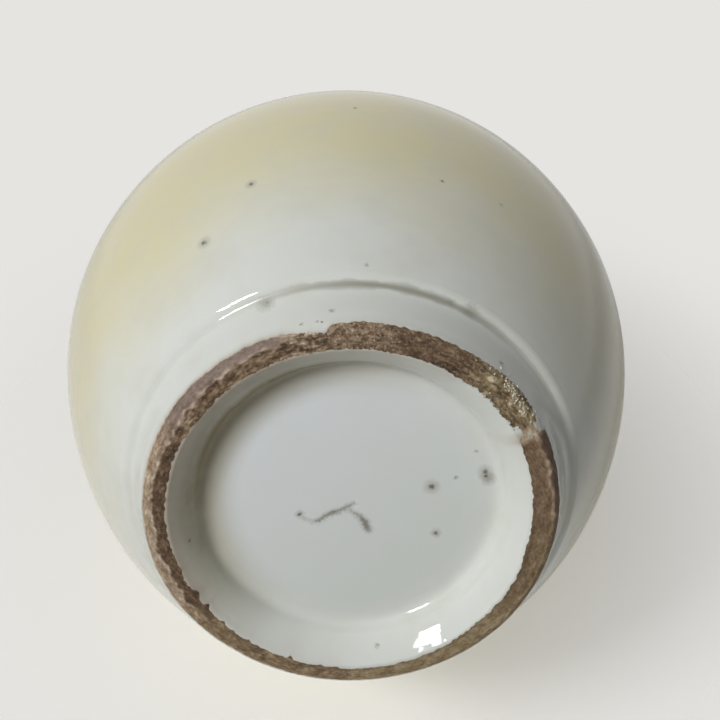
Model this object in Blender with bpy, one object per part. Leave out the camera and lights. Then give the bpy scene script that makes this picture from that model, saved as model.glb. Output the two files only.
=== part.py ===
"""Porcelain bottle vase, thrown in sections that are luted together with slip.

The bottle stands upright on its foot ring. Its turning axis is Z, and the origin is the
centre of the plane that it stands on. Every section is a turned outline of radius and height.
A lean is an angle from the vertical, outwards where it is positive. A reach is how far a curve
keeps the direction of its end, as a share of the straight distance between its ends.
"""

import math

import bmesh
import bpy
from mathutils import Vector

# Overall height, in metres like every length here
TOTAL_HEIGHT = 0.290

# Luted joints: a layer of slip between two clay faces
SLIP_THICKNESS = 0.0006
CLEARANCE = 0.0003
SLIP_SETBACK = 0.0008

# Foot ring, turned with a worn bevel round its bare outer edge
FOOT_EDGE_RADIUS = 0.0539
FOOT_HEIGHT = 0.0150
CONTACT_WIDTH = 0.0045
BEVEL_WIDTH = 0.0021
BEVEL_HEIGHT = 0.0019
FOOT_RIDGE = 0.0006
FOOT_LOW_LEAN = 21.0
FOOT_TOP_LEAN = 34.0
FOOT_REACH = 0.33

# Recess under the foot, and the boss of the floor that centres the foot ring
RECESS_RADIUS = 0.0385
RECESS_DEPTH = 0.0100
RECESS_EDGE_LEAN = -62.0
RECESS_FLOOR_LEAN = -20.0
RECESS_REACH = 0.38
BOSS_HEIGHT = 0.0035

# Lower body, thrown as a bowl with its own floor
GROOVE_RADIUS = 0.0595
BODY_FLARE = 30.0
GROOVE_REACH = 0.30
LOWER_BELLY_REACH = 0.32
BASE_WALL = 0.0075
FLOOR_THICKNESS = 0.0075
FLOOR_CORNER_REACH = 0.45

# Widest part, where the two bowls meet rim to rim
BELLY_RADIUS = 0.0880
BELLY_HEIGHT = 0.0900
BELLY_WALL = 0.0050
BELLY_SCARF = 0.0020

# Upper body, closing in to the root of the neck
UPPER_BELLY_REACH = 0.47
SHOULDER_REACH = 0.37
SHOULDER_LEAN = -50.0
NECK_ROOT_RADIUS = 0.0375
NECK_ROOT_HEIGHT = 0.1730
NECK_SCARF = 0.0015

# Neck, drawn in to a waist and flaring to the mouth
NECK_ROOT_REACH = 0.33
LOWER_WAIST_REACH = 0.38
UPPER_WAIST_REACH = 0.40
MOUTH_REACH = 0.32
WAIST_RADIUS = 0.0185
WAIST_HEIGHT = 0.2360
NECK_WALL = 0.0045
MOUTH_RADIUS = 0.0232
MOUTH_FLARE = 18.0

# Rolled coil that thickens the mouth
LIP_WIDTH = 0.0092
LIP_HEIGHT = 0.0100
LIP_OVERHANG = 0.0014
LIP_SEAT_ANGLE = 40.0

# Fineness of the turned surfaces
SEGMENTS = 56
BODY_POINTS = 9
NECK_POINTS = 7
MOUTH_POINTS = 5
FOOT_POINTS = 5
BEVEL_POINTS = 4
LIP_POINTS = 11
SHARP_ANGLE = 35.0
WELD_DISTANCE = 1e-6

# Distance from one clay face of a luted joint to the other
JOINT_THICKNESS = SLIP_THICKNESS + 2 * CLEARANCE

# Linear colours of the fired pieces
GLAZED_WHITE = (0.68, 0.69, 0.65)
GLAZED_CREAM = (0.66, 0.63, 0.47)
BARE_FOOT = (0.17, 0.13, 0.10)
FIRED_SLIP = (0.42, 0.42, 0.35)
GLAZE_ROUGHNESS = 0.12
BARE_ROUGHNESS = 0.85
SLIP_ROUGHNESS = 0.60


def leaning(lean):
    """Unit step upwards that leans by an angle from the vertical."""
    angle = math.radians(lean)
    return Vector((math.sin(angle), math.cos(angle)))


def curve(start, start_lean, start_reach, end, end_lean, end_reach, count):
    """Points along a cubic curve upwards from start to end, both included."""
    span = (end - start).length
    leave = start + span * start_reach * leaning(start_lean)
    arrive = end - span * end_reach * leaning(end_lean)
    points = []
    for index in range(count):
        t = index / (count - 1)
        s = 1 - t
        points.append(s**3 * start + 3 * s * s * t * leave + 3 * s * t * t * arrive + t**3 * end)
    return points


def inner_wall(outside, first_wall, last_wall):
    """Inside of a wall: the outer points moved in along their normals, without the two ends."""
    last = len(outside) - 1
    inside = []
    for index in range(1, last):
        along = outside[index + 1] - outside[index - 1]
        inwards = Vector((-along.y, along.x)).normalized()
        wall = first_wall + (last_wall - first_wall) * index / last
        inside.append(outside[index] + wall * inwards)
    return inside


def joint_face(outer_edge, lean, wall, scarf, lift):
    """Outer and inner edge of a scarfed face across a leaning wall, lifted along the wall."""
    slope = math.tan(math.radians(lean))
    width = wall / math.cos(math.radians(lean))
    outer = outer_edge + lift * Vector((slope, 1))
    inner = outer + Vector((slope * scarf - width, scarf))
    return outer, inner


def fired(name, colour, roughness):
    """Principled material of one piece."""
    material = bpy.data.materials.new(name)
    material.use_nodes = True
    shader = material.node_tree.nodes["Principled BSDF"]
    shader.inputs["Base Color"].default_value = (*colour, 1)
    shader.inputs["Roughness"].default_value = roughness
    shader.inputs["Metallic"].default_value = 0
    return material


def turned(name, outline, colour, roughness):
    """Turn an outline about Z. It runs down its outer side, and closes unless it ends on the axis."""
    shape = bmesh.new()
    corners = [shape.verts.new((point.x, 0, point.y)) for point in outline]
    edges = [shape.edges.new(pair) for pair in zip(corners, corners[1:])]
    if outline[-1].x > 0:
        edges.append(shape.edges.new((corners[-1], corners[0])))
    bmesh.ops.spin(shape, geom=corners + edges, cent=(0, 0, 0), axis=(0, 0, 1),
                   angle=math.tau, steps=SEGMENTS, use_merge=True)
    bmesh.ops.remove_doubles(shape, verts=shape.verts, dist=WELD_DISTANCE)
    bmesh.ops.recalc_face_normals(shape, faces=shape.faces)
    mesh = bpy.data.meshes.new(name)
    shape.to_mesh(mesh)
    shape.free()
    mesh.shade_smooth()
    mesh.set_sharp_from_angle(angle=math.radians(SHARP_ANGLE))
    mesh.materials.append(fired(name, colour, roughness))
    piece = bpy.data.objects.new(name, mesh)
    bpy.context.scene.collection.objects.link(piece)
    return piece


def slip_layer(name, outer_edge, lean, wall, scarf):
    """Layer of slip that lutes two sections along a scarfed face."""
    top_outer, top_inner = joint_face(outer_edge, lean, wall, scarf, CLEARANCE + SLIP_THICKNESS)
    low_outer, low_inner = joint_face(outer_edge, lean, wall, scarf, CLEARANCE)
    return turned(name, [top_outer, low_outer, low_inner, top_inner], FIRED_SLIP, SLIP_ROUGHNESS)


def foot_joint(radius, drop):
    """Point of the joint under the lower body at a radius, a drop below the body's own face."""
    inner = Vector((RECESS_RADIUS, RECESS_DEPTH + BOSS_HEIGHT))
    outer = Vector((GROOVE_RADIUS, FOOT_HEIGHT))
    along = (radius - inner.x) / (outer.x - inner.x)
    return inner.lerp(outer, along) - Vector((0, drop))


def belly_edge():
    """Outer edge of the lower bowl's rim, half a joint below the widest height."""
    return Vector((BELLY_RADIUS, BELLY_HEIGHT - JOINT_THICKNESS / 2))


def neck_edge():
    """Outer edge of the upper body where the neck is luted on."""
    return Vector((NECK_ROOT_RADIUS, NECK_ROOT_HEIGHT))


def mouth_edge():
    """Outer edge of the neck where the lip coil is luted on."""
    return Vector((MOUTH_RADIUS, TOTAL_HEIGHT - LIP_HEIGHT))


def make_foot_ring():
    ridge = foot_joint(GROOVE_RADIUS + FOOT_RIDGE, JOINT_THICKNESS)
    glaze_line = Vector((FOOT_EDGE_RADIUS, BEVEL_HEIGHT))
    contact_outer = Vector((FOOT_EDGE_RADIUS - BEVEL_WIDTH, 0))
    contact_inner = contact_outer - Vector((CONTACT_WIDTH, 0))
    recess_edge = Vector((RECESS_RADIUS + CLEARANCE, RECESS_DEPTH))
    seat_inner = foot_joint(recess_edge.x, JOINT_THICKNESS)

    # The outer wall is a little hollow, and the bare bevel below it is rounded by wear
    wall = curve(glaze_line, FOOT_LOW_LEAN, FOOT_REACH, ridge, FOOT_TOP_LEAN, FOOT_REACH, FOOT_POINTS)
    bevel = curve(contact_outer, 90, FOOT_REACH, glaze_line, FOOT_LOW_LEAN, FOOT_REACH, BEVEL_POINTS)

    # The recess wall slopes in from the contact face and steepens down to the floor
    recess = curve(contact_inner, RECESS_EDGE_LEAN, RECESS_REACH,
                   recess_edge, RECESS_FLOOR_LEAN, RECESS_REACH, FOOT_POINTS + 1)
    outline = wall[::-1] + bevel[-2::-1] + recess + [seat_inner]
    return turned("foot_ring", outline, BARE_FOOT, BARE_ROUGHNESS)


def make_foot_slip():
    inner_radius = RECESS_RADIUS + 2 * CLEARANCE
    outer_radius = GROOVE_RADIUS - SLIP_SETBACK
    upper_drop = CLEARANCE
    lower_drop = CLEARANCE + SLIP_THICKNESS
    outline = [foot_joint(outer_radius, upper_drop), foot_joint(outer_radius, lower_drop),
               foot_joint(inner_radius, lower_drop), foot_joint(inner_radius, upper_drop)]
    return turned("foot_slip", outline, FIRED_SLIP, SLIP_ROUGHNESS)


def make_lower_body():
    rim_outer, rim_inner = joint_face(belly_edge(), 0, BELLY_WALL, BELLY_SCARF, 0)
    groove = foot_joint(GROOVE_RADIUS, 0)
    outside = curve(groove, BODY_FLARE, GROOVE_REACH, rim_outer, 0, LOWER_BELLY_REACH, BODY_POINTS)
    wall = inner_wall(outside, BASE_WALL, BELLY_WALL)

    # The floor is flat over the boss and rounds up into the wall
    floor_height = RECESS_DEPTH + FLOOR_THICKNESS
    floor_edge = Vector((RECESS_RADIUS, floor_height))
    corner = curve(floor_edge, 90, FLOOR_CORNER_REACH, wall[0], BODY_FLARE, FLOOR_CORNER_REACH, FOOT_POINTS)
    inside = [Vector((0, floor_height))] + corner + wall[1:] + [rim_inner]

    boss = [foot_joint(RECESS_RADIUS, 0), Vector((RECESS_RADIUS, RECESS_DEPTH)), Vector((0, RECESS_DEPTH))]
    return turned("lower_body", inside + outside[::-1] + boss, GLAZED_WHITE, GLAZE_ROUGHNESS)


def make_upper_body():
    rim_outer, rim_inner = joint_face(belly_edge(), 0, BELLY_WALL, BELLY_SCARF, JOINT_THICKNESS)
    root_outer, root_inner = joint_face(neck_edge(), SHOULDER_LEAN, NECK_WALL, NECK_SCARF, 0)
    outside = curve(rim_outer, 0, UPPER_BELLY_REACH, root_outer, SHOULDER_LEAN, SHOULDER_REACH, BODY_POINTS)
    wall = inner_wall(outside, BELLY_WALL, NECK_WALL)
    outline = outside[::-1] + [rim_inner] + wall + [root_inner]
    return turned("upper_body", outline, GLAZED_CREAM, GLAZE_ROUGHNESS)


def make_neck():
    root_outer, root_inner = joint_face(neck_edge(), SHOULDER_LEAN, NECK_WALL, NECK_SCARF, JOINT_THICKNESS)
    mouth_outer, mouth_inner = joint_face(mouth_edge(), MOUTH_FLARE, NECK_WALL, 0, 0)
    waist = Vector((WAIST_RADIUS, WAIST_HEIGHT))
    below = curve(root_outer, SHOULDER_LEAN, NECK_ROOT_REACH, waist, 0, LOWER_WAIST_REACH, NECK_POINTS)
    above = curve(waist, 0, UPPER_WAIST_REACH, mouth_outer, MOUTH_FLARE, MOUTH_REACH, MOUTH_POINTS)
    outside = below + above[1:]
    wall = inner_wall(outside, NECK_WALL, NECK_WALL)
    outline = outside[::-1] + [root_inner] + wall + [mouth_inner]
    return turned("neck", outline, GLAZED_CREAM, GLAZE_ROUGHNESS)


def make_mouth_rim():
    seat_outer, seat_inner = joint_face(mouth_edge(), MOUTH_FLARE, NECK_WALL, 0, JOINT_THICKNESS)
    centre = (seat_outer + seat_inner) / 2 + Vector((LIP_OVERHANG, 0))
    centre.y = TOTAL_HEIGHT - LIP_HEIGHT / 2

    # The coil is an oval, cut flat where it sits on the neck
    coil = []
    for index in range(LIP_POINTS):
        turn = index / (LIP_POINTS - 1)
        angle = math.radians(180 + LIP_SEAT_ANGLE - turn * (180 + 2 * LIP_SEAT_ANGLE))
        coil.append(centre + Vector((LIP_WIDTH / 2 * math.cos(angle), LIP_HEIGHT / 2 * math.sin(angle))))
    return turned("mouth_rim", coil + [seat_outer, seat_inner], GLAZED_CREAM, GLAZE_ROUGHNESS)


def main():
    for old in list(bpy.data.objects):
        bpy.data.objects.remove(old)
    make_foot_ring()
    make_foot_slip()
    make_lower_body()
    slip_layer("belly_slip", belly_edge(), 0, BELLY_WALL, BELLY_SCARF)
    make_upper_body()
    slip_layer("neck_slip", neck_edge(), SHOULDER_LEAN, NECK_WALL, NECK_SCARF)
    make_neck()
    slip_layer("mouth_slip", mouth_edge(), MOUTH_FLARE, NECK_WALL, 0)
    make_mouth_rim()


main()
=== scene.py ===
import math

import bmesh
import bpy
import numpy as np
from mathutils import Matrix, Vector, noise


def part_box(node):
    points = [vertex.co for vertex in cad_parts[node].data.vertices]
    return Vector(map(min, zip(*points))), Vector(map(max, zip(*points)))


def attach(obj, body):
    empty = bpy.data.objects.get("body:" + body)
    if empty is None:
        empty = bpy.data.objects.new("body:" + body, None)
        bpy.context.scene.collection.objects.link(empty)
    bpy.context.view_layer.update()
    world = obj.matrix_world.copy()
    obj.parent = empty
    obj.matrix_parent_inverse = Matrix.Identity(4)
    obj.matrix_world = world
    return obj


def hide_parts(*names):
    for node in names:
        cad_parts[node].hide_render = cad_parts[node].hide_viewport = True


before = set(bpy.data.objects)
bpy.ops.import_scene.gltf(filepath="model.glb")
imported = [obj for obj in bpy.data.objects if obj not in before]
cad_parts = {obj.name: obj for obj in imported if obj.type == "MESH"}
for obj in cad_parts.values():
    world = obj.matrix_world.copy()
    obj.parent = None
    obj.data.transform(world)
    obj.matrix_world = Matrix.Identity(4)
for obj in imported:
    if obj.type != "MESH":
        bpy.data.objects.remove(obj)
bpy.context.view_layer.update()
mm = 0.001  # outlines and marks below are in millimetres
print("frame loaded:", len(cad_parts), "solids")


def hexColour(text):  # sRGB hex to the linear colour that nodes use
    parts = [int(text[i:i + 2], 16) / 255 for i in (1, 3, 5)]
    linear = [c / 12.92 if c <= 0.04045 else ((c + 0.055) / 1.055) ** 2.4 for c in parts]
    return (*linear, 1.0)


def setSockets(tree, node, links):  # links: socket -> value, socket or node
    for socket, value in links.items():
        if isinstance(value, bpy.types.Node):
            value = next(output for output in value.outputs if output.enabled)
        if isinstance(value, bpy.types.NodeSocket):
            tree.links.new(value, node.inputs[socket])
        else:
            node.inputs[socket].default_value = value


def addNode(tree, kind, links=None, **settings):
    node = tree.nodes.new(kind)
    for name, value in settings.items():
        setattr(node, name, value)
    setSockets(tree, node, links or {})
    return node


def newMaterial(name):
    material = bpy.data.materials.new(name)
    material.use_nodes = True
    return material, material.node_tree, material.node_tree.nodes["Principled BSDF"]


def newTree(name, inputs, result):  # a geometry tree with its named inputs and their kinds
    tree = bpy.data.node_groups.new(name, "GeometryNodeTree")
    for socket, kind in inputs.items():
        tree.interface.new_socket(socket, in_out="INPUT", socket_type="NodeSocket" + kind)
    tree.interface.new_socket(result, in_out="OUTPUT", socket_type="NodeSocketGeometry")
    return tree, addNode(tree, "NodeGroupInput").outputs


def addObject(name, data):
    piece = bpy.data.objects.new(name, data)
    bpy.context.scene.collection.objects.link(piece)
    return piece


def readLayer(items, name, width):  # one row of numbers for each vertex
    values = np.empty(len(items) * width, np.float32)
    items.foreach_get(name, values)
    return values.reshape(-1, width)


# sizes read from the solids, the rest of the potter's outline beside them
_, footHigh = (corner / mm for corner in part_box("foot_ring"))
bodyLow, bodyHigh = (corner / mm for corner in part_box("lower_body"))
_, lipHigh = (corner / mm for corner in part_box("mouth_rim"))

pot = {
    "recessDepth": bodyLow.z,
    "bellyRadius": bodyHigh.x,
    "lipRadius": lipHigh.x,
    "totalHeight": lipHigh.z,
    "recessRadius": 38.5,
    "contactInner": 47.3,
    "contactOuter": 51.8,
    "glazeLine": (53.9, 1.9),  # radius and height where the outer glaze stops
    "groove": (footHigh.x - 1.5, 14.1),  # corner where the foot's wall meets the ledge under the body
    "ledge": (footHigh.x + 0.7, 15.25),
    "bodyStart": (footHigh.x + 2.1, 16.7),
    "bellyHeight": 90.0,
    "neckRoot": (37.5, 173.0),
    "waist": (18.5, 236.0),
    "mouth": (23.2, 280.0),
    "baseWall": 7.5,
    "bellyWall": 5.0,
    "neckWall": 4.5,
    "shoulderLean": -50.0,
    "mouthFlare": 18.0,
    "lipWidth": 9.2,
    "lipHeight": 10.0,
}


def leanStep(angle):  # one step in a direction that leans this far out from upright
    return np.array((math.sin(math.radians(angle)), math.cos(math.radians(angle))))


def sweep(start, startLean, startReach, end, endLean, endReach, count):  # reach: how far each lean holds
    start, end = np.array(start, float), np.array(end, float)
    span = np.linalg.norm(end - start)
    leave = start + span * startReach * leanStep(startLean)
    arrive = end - span * endReach * leanStep(endLean)
    t = np.linspace(0, 1, count)[:, None]
    s = 1 - t
    return s**3 * start + 3 * s * s * t * leave + 3 * s * t * t * arrive + t**3 * end


def insideOf(points, firstWall, lastWall):  # the wall's inner face, along the normals
    along = np.gradient(points, axis=0)
    inwards = np.stack((-along[:, 1], along[:, 0]), 1)
    inwards /= np.linalg.norm(inwards, axis=1)[:, None]
    return points + inwards * np.linspace(firstWall, lastWall, len(points))[:, None]


def runningLength(points):
    return np.concatenate(((0,), np.cumsum(np.linalg.norm(np.diff(points, axis=0), axis=1))))


def bodyWall():  # outside of the lower body
    return sweep(pot["bodyStart"], 40, 0.26, (pot["bellyRadius"], pot["bellyHeight"]), 0, 0.32, 80)


def footWall():  # glazed outside of the foot
    return sweep(pot["glazeLine"], 21, 0.33, np.array(pot["groove"]) - (0.9, 1.4), 31, 0.33, 18)


def recessWall():  # slopes in from the contact face and steepens towards the crease
    crease = (pot["recessRadius"] + 1.9, pot["recessDepth"] - 2.0)
    return sweep((pot["contactInner"], 0), -54, 0.45, crease, -24, 0.28, 24)


def bodyOutline():  # from the middle of the recess floor, up the outside, down the inside
    belly = (pot["bellyRadius"], pot["bellyHeight"])
    groove = np.array(pot["groove"])
    under = np.linspace((0, pot["recessDepth"]), (pot["recessRadius"], pot["recessDepth"]), 92)
    hidden = np.linspace((pot["recessRadius"], pot["recessDepth"] + 3.4), groove + (-1.6, 0.5), 5)
    ledge = sweep(groove + (-0.5, -0.05), 62, 0.3, pot["ledge"], 58, 0.3, 10)  # step that the glaze rounds
    edge = sweep(pot["ledge"], 58, 0.35, pot["bodyStart"], 40, 0.35, 10)
    lower = bodyWall()
    upper = sweep(belly, 0, 0.47, pot["neckRoot"], pot["shoulderLean"], 0.37, 66)
    root = sweep(pot["neckRoot"], pot["shoulderLean"], 0.33, pot["waist"], 0, 0.38, 34)
    mouth = sweep(pot["waist"], 0, 0.40, pot["mouth"], pot["mouthFlare"], 0.32, 18)
    neck = np.vstack((root, mouth[1:]))
    lipCentre = np.array((pot["lipRadius"] - pot["lipWidth"] / 2, pot["totalHeight"] - pot["lipHeight"] / 2))
    turn = np.radians(np.linspace(-42, 218, 24))
    lip = lipCentre + np.stack((np.cos(turn) * pot["lipWidth"], np.sin(turn) * pot["lipHeight"]), 1) / 2
    neckIn = insideOf(neck, pot["neckWall"], pot["neckWall"])[1:-3:2]
    upperIn = insideOf(upper, pot["bellyWall"], pot["neckWall"])[1:-2:3]
    lowerIn = insideOf(lower, pot["baseWall"], pot["bellyWall"])[6::4]
    floorEdge = (pot["recessRadius"], pot["recessDepth"] + pot["baseWall"])
    corner = sweep(floorEdge, 90, 0.45, lowerIn[0], 30, 0.45, 10)
    floor = np.linspace((0, floorEdge[1]), floorEdge, 20)
    inside = np.vstack((floor, corner[1:], lowerIn[1:], upperIn[1:], neckIn[1:]))
    return np.vstack((under, hidden, ledge, edge[1:], lower[1:], upper[1:], neck[1:-1], lip, inside[::-1]))


def footOutline():  # from the recess crease out under the contact face and up to the ridge
    groove = np.array(pot["groove"])
    inner, outer = (pot["contactInner"], 0), (pot["contactOuter"], 0)
    recess = recessWall()[::-1]
    floorStart = (pot["recessRadius"] - 2.4, pot["recessDepth"] + 0.02)
    fillet = sweep(recess[0], -24, 0.44, floorStart, -88, 0.46, 12)[::-1]
    contact = np.linspace(inner, outer, 26)
    bevel = sweep(outer, 90, 0.33, pot["glazeLine"], 21, 0.33, 18)
    wall = footWall()
    corner = sweep(wall[-1], 31, 0.4, groove + (0.9, 0.6), 62, 0.4, 8)  # glaze pooled in the corner
    back = [groove + (-2.0, 0.6), (pot["recessRadius"] + 1.5, pot["recessDepth"] + 1.4),
            (pot["recessRadius"] - 4.0, pot["recessDepth"] + 0.5)]  # ends hidden inside the floor
    return np.vstack((fillet, recess[1:], contact[1:], bevel[1:], wall[1:], corner[1:], back))


def outlineObject(name, points, closed):  # a wire in the XZ plane that carries its own running length
    length = runningLength(points)
    if closed:
        points = np.vstack((points, points[:1]))
        length = np.append(length, 0)
    mesh = bpy.data.meshes.new(name)
    corners = [(r * mm, 0, z * mm) for r, z in points]
    mesh.from_pydata(corners, [(i, i + 1) for i in range(len(points) - 1)], [])
    running = mesh.attributes.new("running", "FLOAT", "POINT")
    running.data.foreach_set("value", length.astype(np.float32))
    return addObject(name, mesh)


wheel = {
    "warp": 0.75 * mm,  # the ware sags a little out of round in the kiln
    "warpSize": 150 * mm,
    "rings": 0.07 * mm,  # finger rings left by throwing
    "ringSpacing": 7 * mm,
    "weld": 0.002 * mm,
    "seed": 4,
}


def turnOnWheel():  # turns an outline about Z, with throwing rings and a slight warp
    tree, given = newTree("turnOnWheel", {"Outline": "Geometry", "Segments": "Int", "Warp": "Float",
                                          "Warp Size": "Float", "Rings": "Float", "Ring Spacing": "Float",
                                          "Seed": "Int", "Glaze": "Material"}, "Turned")
    size = addNode(tree, "GeometryNodeAttributeDomainSize", {0: given["Outline"]}, component="MESH")
    rows = addNode(tree, "ShaderNodeMath", {0: given["Segments"], 1: 1.0}, operation="ADD")
    grid = addNode(tree, "GeometryNodeMeshGrid", {"Vertices X": rows, "Vertices Y": size})
    index = addNode(tree, "GeometryNodeInputIndex")
    column = addNode(tree, "ShaderNodeMath", {0: index, 1: size}, operation="MODULO")
    share = addNode(tree, "ShaderNodeMath", {0: index, 1: size}, operation="DIVIDE")
    row = addNode(tree, "ShaderNodeMath", {0: share}, operation="FLOOR")
    part = addNode(tree, "ShaderNodeMath", {0: row, 1: given["Segments"]}, operation="DIVIDE")
    angle = addNode(tree, "ShaderNodeMath", {0: part, 1: math.tau}, operation="MULTIPLY")
    place = addNode(tree, "GeometryNodeInputPosition")
    fromOutline = {"Geometry": given["Outline"], "Index": column}
    onOutline = addNode(tree, "GeometryNodeSampleIndex", {**fromOutline, "Value": place},
        data_type="FLOAT_VECTOR")
    length = addNode(tree, "GeometryNodeInputNamedAttribute", {"Name": "running"})
    lengthHere = addNode(tree, "GeometryNodeSampleIndex", {**fromOutline, "Value": length})
    turned = addNode(tree, "ShaderNodeVectorRotate", {"Vector": onOutline, "Angle": angle},
        rotation_type="Z_AXIS")
    shaped = addNode(tree, "GeometryNodeSetPosition", {"Geometry": grid, "Position": turned})
    marked = addNode(tree, "GeometryNodeStoreNamedAttribute", {"Geometry": shaped, "Name": "running",
        "Value": lengthHere})
    welded = addNode(tree, "GeometryNodeMergeByDistance", {"Geometry": marked, "Distance": wheel["weld"]})

    ringStep = addNode(tree, "ShaderNodeMath", {0: length, 1: given["Ring Spacing"]}, operation="DIVIDE")
    ringPlace = addNode(tree, "ShaderNodeMath", {0: ringStep, 1: given["Seed"]}, operation="ADD")
    ringNoise = addNode(tree, "ShaderNodeTexNoise", {"W": ringPlace, "Scale": 1.0, "Detail": 1.0},
        noise_dimensions="1D")
    ringLift = addNode(tree, "ShaderNodeMath", {0: ringNoise, 1: 0.5}, operation="SUBTRACT")
    ringHeight = addNode(tree, "ShaderNodeMath", {0: ringLift, 1: given["Rings"]}, operation="MULTIPLY")
    normal = addNode(tree, "GeometryNodeInputNormal")
    ringMove = addNode(tree, "ShaderNodeVectorMath", {0: normal, "Scale": ringHeight}, operation="SCALE")
    ringed = addNode(tree, "GeometryNodeSetPosition", {"Geometry": welded, "Offset": ringMove})

    warpPlace = addNode(tree, "ShaderNodeVectorMath", {0: place, 1: given["Warp Size"]}, operation="DIVIDE")
    warpNoise = addNode(tree, "ShaderNodeTexNoise", {"Vector": warpPlace, "W": given["Seed"], "Scale": 1.0,
        "Detail": 0.0}, noise_dimensions="4D")
    warpCentre = addNode(tree, "ShaderNodeVectorMath", {0: warpNoise.outputs["Color"], 1: (0.5, 0.5, 0.5)},
        operation="SUBTRACT")
    warpLevel = addNode(tree, "ShaderNodeVectorMath", {0: warpCentre, 1: (2, 2, 0)}, operation="MULTIPLY")
    warpMove = addNode(tree, "ShaderNodeVectorMath", {0: warpLevel, "Scale": given["Warp"]},
        operation="SCALE")
    warped = addNode(tree, "GeometryNodeSetPosition", {"Geometry": ringed, "Offset": warpMove})
    smooth = addNode(tree, "GeometryNodeSetShadeSmooth", {"Geometry": warped})
    whole = addNode(tree, "GeometryNodeRealizeInstances", {"Geometry": smooth})
    glazed = addNode(tree, "GeometryNodeSetMaterial", {"Geometry": whole, "Material": given["Glaze"]})
    addNode(tree, "NodeGroupOutput", {0: glazed})
    return tree


def runTree(piece, tree, values):  # runs the tree on the piece and keeps the result as a plain mesh
    modifier = piece.modifiers.new(tree.name, "NODES")
    modifier.node_group = tree
    for socket in tree.interface.items_tree:
        if socket.in_out == "INPUT" and socket.name in values:
            modifier[socket.identifier] = values[socket.name]
    evaluated = piece.evaluated_get(bpy.context.evaluated_depsgraph_get())
    mesh = bpy.data.meshes.new_from_object(evaluated)
    piece.modifiers.remove(modifier)
    old, piece.data = piece.data, mesh
    bpy.data.meshes.remove(old)
    mesh.name = piece.name


def pointOutwards(mesh):
    shape = bmesh.new()
    shape.from_mesh(mesh)
    bmesh.ops.recalc_face_normals(shape, faces=shape.faces)
    shape.to_mesh(mesh)
    shape.free()


def turnPiece(name, points, closed, segments, glaze):
    piece = outlineObject(name, points, closed)
    runTree(piece, wheelTree, {"Segments": segments, "Warp": wheel["warp"], "Warp Size": wheel["warpSize"],
                               "Rings": wheel["rings"], "Ring Spacing": wheel["ringSpacing"],
                               "Seed": wheel["seed"], "Glaze": glaze})
    pointOutwards(piece.data)
    print("turned", name, len(piece.data.polygons), "faces")
    return piece


# bearings are degrees round the foot, clockwise as the underside is seen, from the front
def bearingPoint(bearing, radius, height):
    turn = math.radians(bearing)
    return Vector((math.sin(turn) * radius, -math.cos(turn) * radius, height)) * mm


glazeMarks = {
    "cracks": (((-13.2, 4.9, 0.05), (-11.8, 6.4, 0.10), (-10.2, 7.2, 0.30), (-8.6, 6.9, 0.60), (-6.7, 5.5, 0.65),
        (-4.7, 4.5, 0.70), (-2.9, 4.1, 0.60), (-1.1, 3.1, 0.60), (0.9, 2.1, 0.30)),
        ((-1.1, 3.1, 0.25), (0.6, 4.7, 0.40), (2.4, 6.1, 0.65), (3.6, 7.8, 1.00),
        (4.5, 10.2, 0.85))),  # x, y, half width
    "crackDepth": 0.25,
    "crackWidth": 0.6,
    "floorSpecks": ((-13.6, 4.5, 0.75), (21.4, -2.4, 1.2), (35.5, -6.2, 1.1), (35.6, -5.0, 0.8),
        (22.5, 12.0, 0.8)),  # x, y, radius
    "bodySpecks": ((342.8, 47.1, 0.9), (330.9, 34.0, 1.05), (3.6, 80.0, 0.5), (5.6, 17.2, 0.35),
        (20.4, 47.4, 0.4), (33.2, 48.7, 0.4)),  # bearing, height, radius
    "footSpecks": ((341.1, 13.2, 0.6), (44.5, 5.8, 0.6), (349.0, 2.6, 0.35), (353.2, 2.5, 0.3),
        (354.3, 2.2, 0.25)),
    "recessSpecks": ((260.2, 3.7, 0.55),),
    "smudges": ((340.6, 56.6, 13.8, 3.4, "dirt"), (32.3, 58.7, 15.3, 2.8, "dirt"), (27, 58.6, 15.2, 1.6, "dirt"),
        (357, 54.9, 6.0, 1.0, "dirt"), (83.3, 36.6, 10.0, 2.6, "dirt"), (80.4, 28.2, 10.0, 0.9, "dirt"),
        (69.3, 35.3, 10.0, 0.7, "dirt"),
        (172.4, 43.5, 3.4, 1.1, "rust")),  # bearing, radius, height, size, tint
}


def speckPlaces():  # every speck as a point on its surface, with its radius
    places = [(Vector((x, y, pot["recessDepth"])) * mm, size * mm) for x, y, size in glazeMarks["floorSpecks"]]
    for name, line in (("bodySpecks", bodyWall()), ("footSpecks", footWall()), ("recessSpecks", recessWall())):
        for bearing, height, size in glazeMarks[name]:
            radius = np.interp(height, line[:, 1], line[:, 0])
            places.append((bearingPoint(bearing, radius, height), size * mm))
    return places


def crackRuns():  # the firing cracks as straight runs from point to point
    return [run for crack in glazeMarks["cracks"] for run in zip(crack, crack[1:])]


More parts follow.
